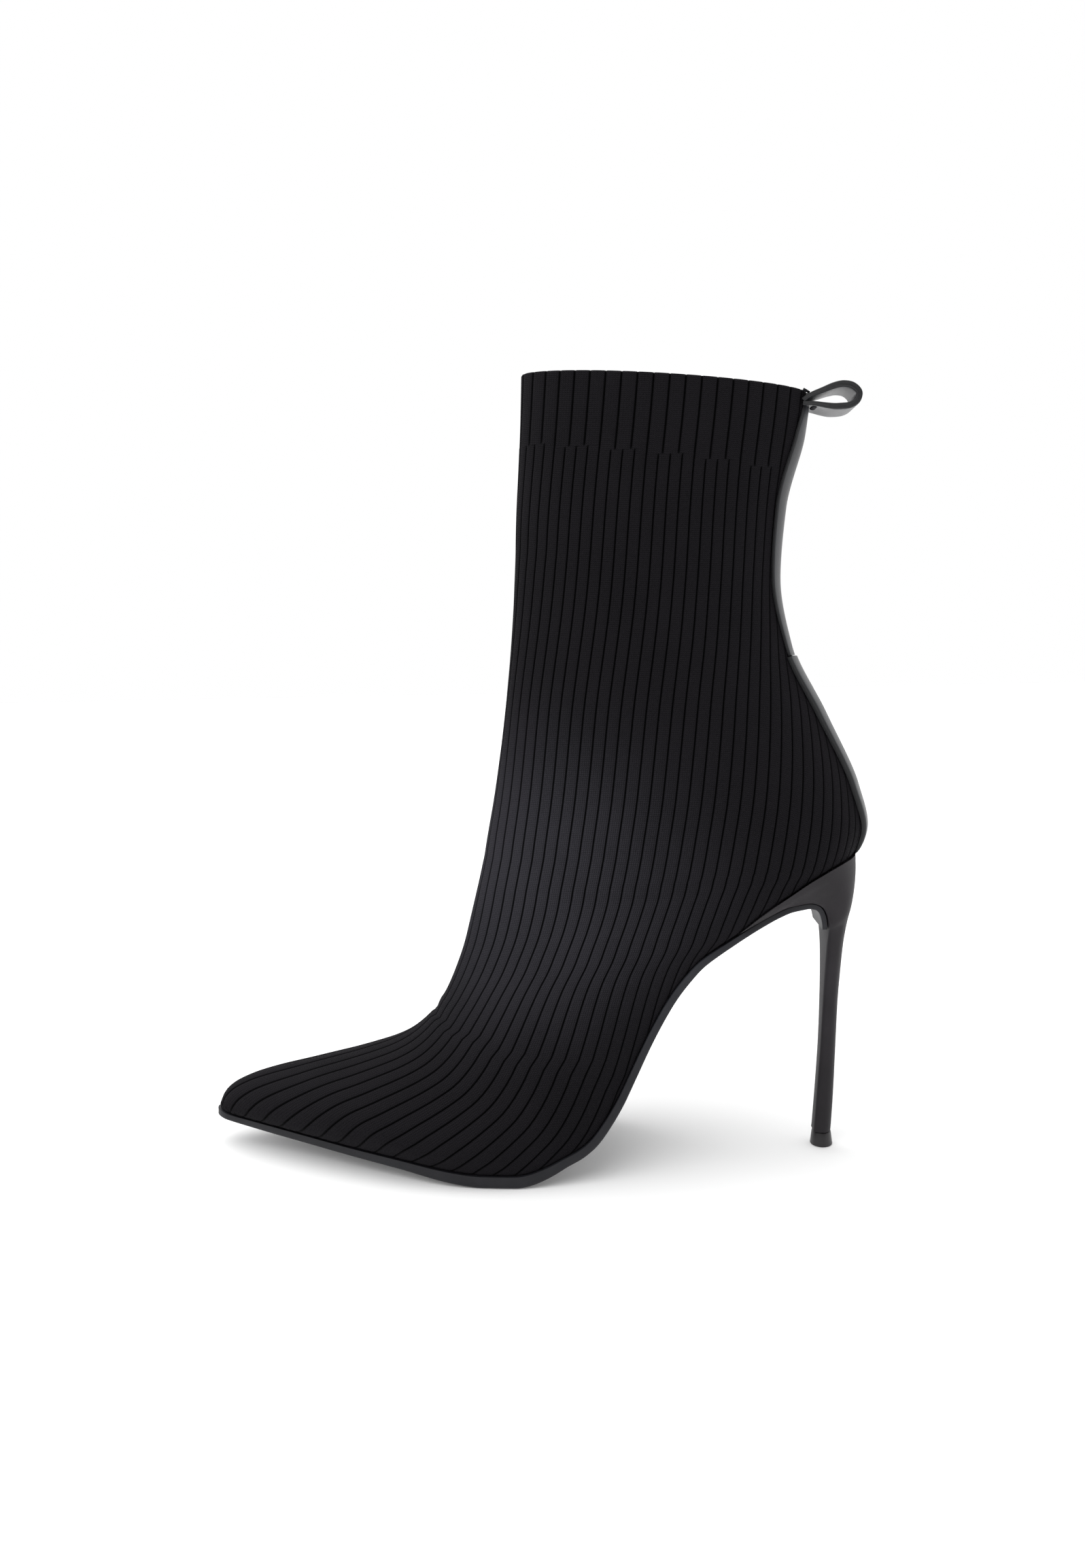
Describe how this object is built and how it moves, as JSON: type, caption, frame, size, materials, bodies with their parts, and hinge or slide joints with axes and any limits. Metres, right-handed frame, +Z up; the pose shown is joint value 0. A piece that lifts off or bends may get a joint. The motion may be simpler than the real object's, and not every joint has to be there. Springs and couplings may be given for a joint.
{
  "type": "sock boot",
  "caption": "Pointed-toe ankle boot with a ribbed knit sock upper, leather strips down the back, a pull loop, a thin sole and a covered stiletto heel.",
  "frame": {"origin": "centre of the heel tip's floor face", "axes": "+Z up, -X towards the toe, +Y towards the boot's right"},
  "size_m": [0.2322, 0.0782, 0.2669],
  "materials": {
    "ribbed_knit": "matt black ribbed knit",
    "strip_leather": "black, soft sheen",
    "insole_lining": "matt dark lining",
    "sole_rubber": "black, smooth painted edge",
    "heel_cover": "black, soft sheen",
    "tip_plastic": "hard black"
  },
  "bodies": {
    "root": {"upper": "ribbed_knit", "leg_strip": "strip_leather", "counter_strip": "strip_leather", "pull_loop": "strip_leather", "insole": "insole_lining", "outsole": "sole_rubber", "heel": "heel_cover", "heel_tip": "tip_plastic"}
  },
  "joints": []
}
